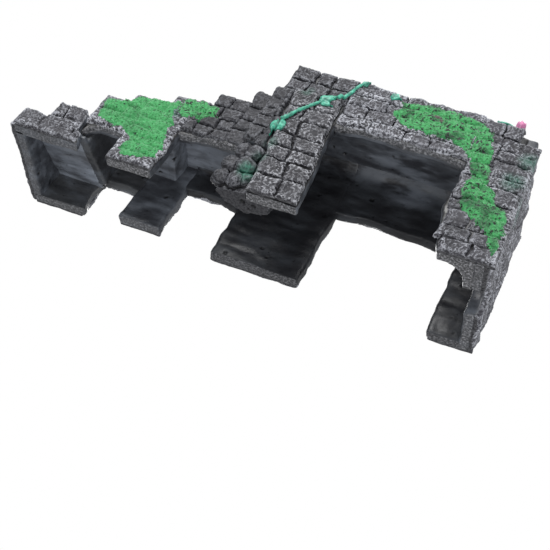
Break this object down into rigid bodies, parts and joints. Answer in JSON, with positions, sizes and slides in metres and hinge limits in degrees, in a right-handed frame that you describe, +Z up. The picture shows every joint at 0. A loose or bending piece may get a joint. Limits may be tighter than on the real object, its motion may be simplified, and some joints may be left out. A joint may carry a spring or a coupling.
{
  "type": "miniature terrain ruin",
  "caption": "Ruined stone arcade wall for miniatures: hollow cast piers and lintels around through doorways, stepped broken top, moss and a climbing vine.",
  "frame": {"origin": "middle of the footprint on the surface it stands on", "axes": "+Z up, +X from the low broken end to the tall end, -Y out of the front facade with the moss and vine"},
  "size_m": [0.2826, 0.081, 0.1111],
  "materials": {
    "resin": "bare dark casting resin, satin, with flow marks and bubble pits",
    "stone": "rough cast stone texture, near black with pale grey dry-brushed edges",
    "moss": "bright green flock, granular, darker specks",
    "vine": "teal green painted relief, satin",
    "petal": "muted pink paint, matt"
  },
  "bodies": {
    "root": {"front_wall_left": "resin", "end_wall_left": "resin", "deck_left": "resin", "back_wall_left": "resin", "riser_left": "resin", "front_lintel_1": "resin", "front_pier_a": "resin", "front_lintel_2": "resin", "deck_low": "resin", "riser_mid": "resin", "deck_mid": "resin", "back_lintel_1": "resin", "back_pier_2": "resin", "back_lintel_2": "resin", "tower_wall_left": "resin", "front_pier_b": "resin", "front_lintel_3": "resin", "front_pier_c": "resin", "deck_tall": "resin", "end_wall_right": "resin", "back_pier_3": "resin", "back_lintel_3": "resin", "back_buttress": "resin", "stones_left_front": "stone", "stones_step_1": "stone", "stones_pier_a": "stone", "stones_step_2": "stone", "stones_pier_b": "stone", "stones_tower_front": "stone", "stones_tower_top": "stone", "stones_lintel_3": "stone", "stones_pier_c": "stone", "stones_left_end": "stone", "stones_tower_left": "stone", "stones_right_end": "stone", "stones_back_left": "stone", "stones_back_step_1": "stone", "stones_back_pier_2": "stone", "stones_back_step_2": "stone", "stones_back_pier_3": "stone", "stones_back_lintel_3": "stone", "stones_back_buttress": "stone", "paving_low": "stone", "paving_mid": "stone", "paving_tall": "stone", "rubble_jamb": "stone", "moss_pier_a": "moss", "moss_step": "moss", "moss_lintel": "moss", "moss_pier_c": "moss", "vine_low": "vine", "leaf_large": "vine", "leaf_pair": "vine", "vine_high": "vine", "leaf_small": "vine", "leaf_top": "vine", "bud_flower": "petal", "bud_leaves": "vine"}
  },
  "joints": []
}
